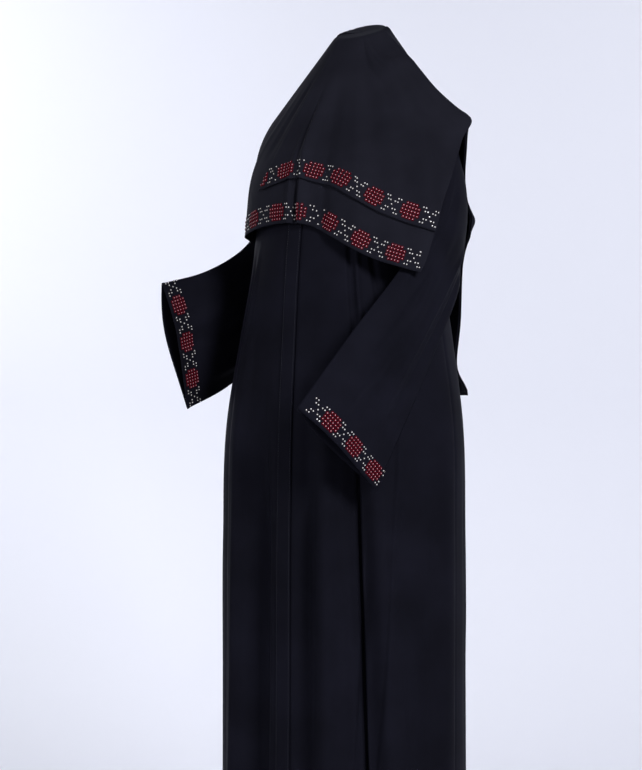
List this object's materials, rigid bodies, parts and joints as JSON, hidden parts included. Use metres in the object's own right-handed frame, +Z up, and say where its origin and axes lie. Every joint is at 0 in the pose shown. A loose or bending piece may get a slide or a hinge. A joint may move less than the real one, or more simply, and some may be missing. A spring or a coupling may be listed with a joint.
{
  "type": "abaya with veil",
  "caption": "Long open-hollow black robe with flared sleeves and a front placket, with its matching rectangular veil doubled over the neck and shoulders.",
  "frame": {"origin": "base of the neck, level with the shoulders that carry the robe, on the wearer's middle line", "axes": "+Z up along the wearer, -Y to the front, +X to the wearer's left"},
  "size_m": [0.5086, 0.5014, 1.5249],
  "materials": {
    "crepe": "matte",
    "veil_crepe": "matte"
  },
  "bodies": {
    "root": {"front_right": "crepe", "front_left": "crepe", "placket": "crepe", "back": "crepe", "sleeve_right": "crepe", "sleeve_left": "crepe", "neckband": "crepe", "veil_upper": "veil_crepe", "veil_lower": "veil_crepe"}
  },
  "joints": []
}
